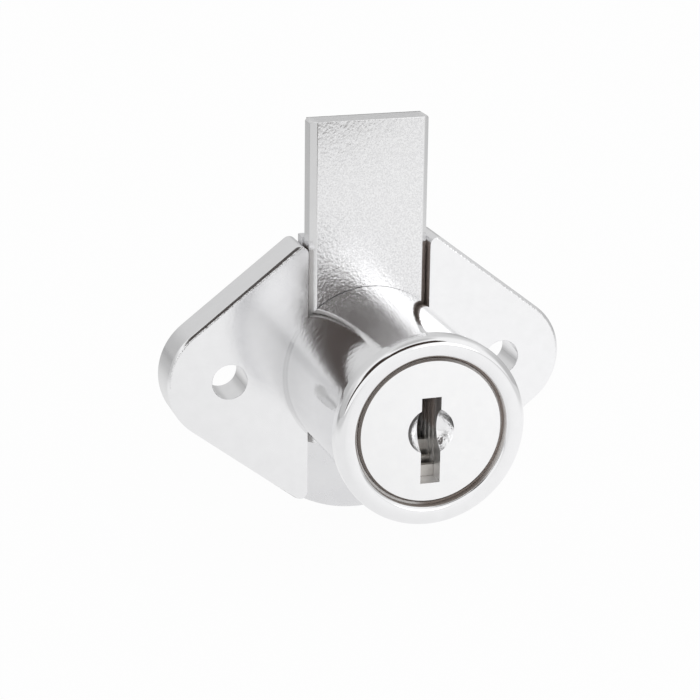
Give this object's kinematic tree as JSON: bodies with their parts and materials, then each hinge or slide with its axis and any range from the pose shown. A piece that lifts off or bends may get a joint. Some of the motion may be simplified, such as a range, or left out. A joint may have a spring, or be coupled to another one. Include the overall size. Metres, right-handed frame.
{
  "type": "drawer lock",
  "caption": "Screw-on drawer lock: round keyed barrel on a diamond-shaped flange, with a flat bolt that slides up and down through it.",
  "frame": {"origin": "on the barrel's axis, in the plane of the ears' front faces", "axes": "+Z the way the bolt is thrown, -Y out of the keyed face, +X to the right seen from the key side"},
  "size_m": [0.0474, 0.0273, 0.0475],
  "materials": {
    "bright_casting": "bright plated zinc casting",
    "bright_ring": "bright plated stamped ring",
    "bright_cylinder": "bright plated cylinder",
    "grained_casting": "plated casting with a fine pebbled grain",
    "plated_steel": "plated sheet steel",
    "steel": "bare steel",
    "plated_brass": "nickel-plated brass stamping",
    "spring_wire": "spring wire"
  },
  "bodies": {
    "housing": {"lock_housing": "bright_casting", "face_ring": "bright_ring", "back_cover": "plated_steel", "cover_rivets": "steel"},
    "cylinder": {"cylinder_plug": "bright_cylinder", "crank_pin": "steel", "retaining_spring": "spring_wire", "wafer_spring_1": "spring_wire", "wafer_spring_2": "spring_wire", "wafer_spring_3": "spring_wire", "wafer_spring_4": "spring_wire", "wafer_spring_5": "spring_wire", "wafer_spring_6": "spring_wire", "wafer_spring_7": "spring_wire"},
    "bolt": {"lock_bolt": "grained_casting"},
    "keeper": {"retaining_wafer": "plated_brass"},
    "wafer_body_1": {"wafer_1": "plated_brass"},
    "wafer_body_2": {"wafer_2": "plated_brass"},
    "wafer_body_3": {"wafer_3": "plated_brass"},
    "wafer_body_4": {"wafer_4": "plated_brass"},
    "wafer_body_5": {"wafer_5": "plated_brass"},
    "wafer_body_6": {"wafer_6": "plated_brass"},
    "wafer_body_7": {"wafer_7": "plated_brass"}
  },
  "joints": [
    {"name": "key_turn", "type": "hinge", "parent": "housing", "child": "cylinder", "pos_m": [0, -0.0108, 0], "axis": [0, 1, 0], "range_deg": [0, 180]},
    {"name": "bolt_slide", "type": "slide", "parent": "housing", "child": "bolt", "axis": [0, 0, -1], "range_m": [0, 0.008]},
    {"name": "keeper_slide", "type": "slide", "parent": "cylinder", "child": "keeper", "axis": [0, 0, 1], "range_m": [0, 0.0008], "stiffness_N_per_m": 60, "springref_m": -0.0012, "deforming": ["retaining_spring"]},
    {"name": "wafer_1_lift", "type": "slide", "parent": "cylinder", "child": "wafer_body_1", "axis": [0, 0, 1], "range_m": [0, 0.0007], "stiffness_N_per_m": 40, "springref_m": 0.0015, "deforming": ["wafer_spring_1"]},
    {"name": "wafer_2_lift", "type": "slide", "parent": "cylinder", "child": "wafer_body_2", "axis": [0, 0, 1], "range_m": [0, 0.0007], "stiffness_N_per_m": 40, "springref_m": 0.0015, "deforming": ["wafer_spring_2"]},
    {"name": "wafer_3_lift", "type": "slide", "parent": "cylinder", "child": "wafer_body_3", "axis": [0, 0, 1], "range_m": [0, 0.0007], "stiffness_N_per_m": 40, "springref_m": 0.0015, "deforming": ["wafer_spring_3"]},
    {"name": "wafer_4_lift", "type": "slide", "parent": "cylinder", "child": "wafer_body_4", "axis": [0, 0, 1], "range_m": [0, 0.0007], "stiffness_N_per_m": 40, "springref_m": 0.0015, "deforming": ["wafer_spring_4"]},
    {"name": "wafer_5_lift", "type": "slide", "parent": "cylinder", "child": "wafer_body_5", "axis": [0, 0, 1], "range_m": [0, 0.0007], "stiffness_N_per_m": 40, "springref_m": 0.0015, "deforming": ["wafer_spring_5"]},
    {"name": "wafer_6_lift", "type": "slide", "parent": "cylinder", "child": "wafer_body_6", "axis": [0, 0, 1], "range_m": [0, 0.0007], "stiffness_N_per_m": 40, "springref_m": 0.0015, "deforming": ["wafer_spring_6"]},
    {"name": "wafer_7_lift", "type": "slide", "parent": "cylinder", "child": "wafer_body_7", "axis": [0, 0, 1], "range_m": [0, 0.0007], "stiffness_N_per_m": 40, "springref_m": 0.0015, "deforming": ["wafer_spring_7"]}
  ],
  "couplings": [
    {"joint": "bolt_slide", "follows": "key_turn", "m_per_rad": 0.002546}
  ]
}
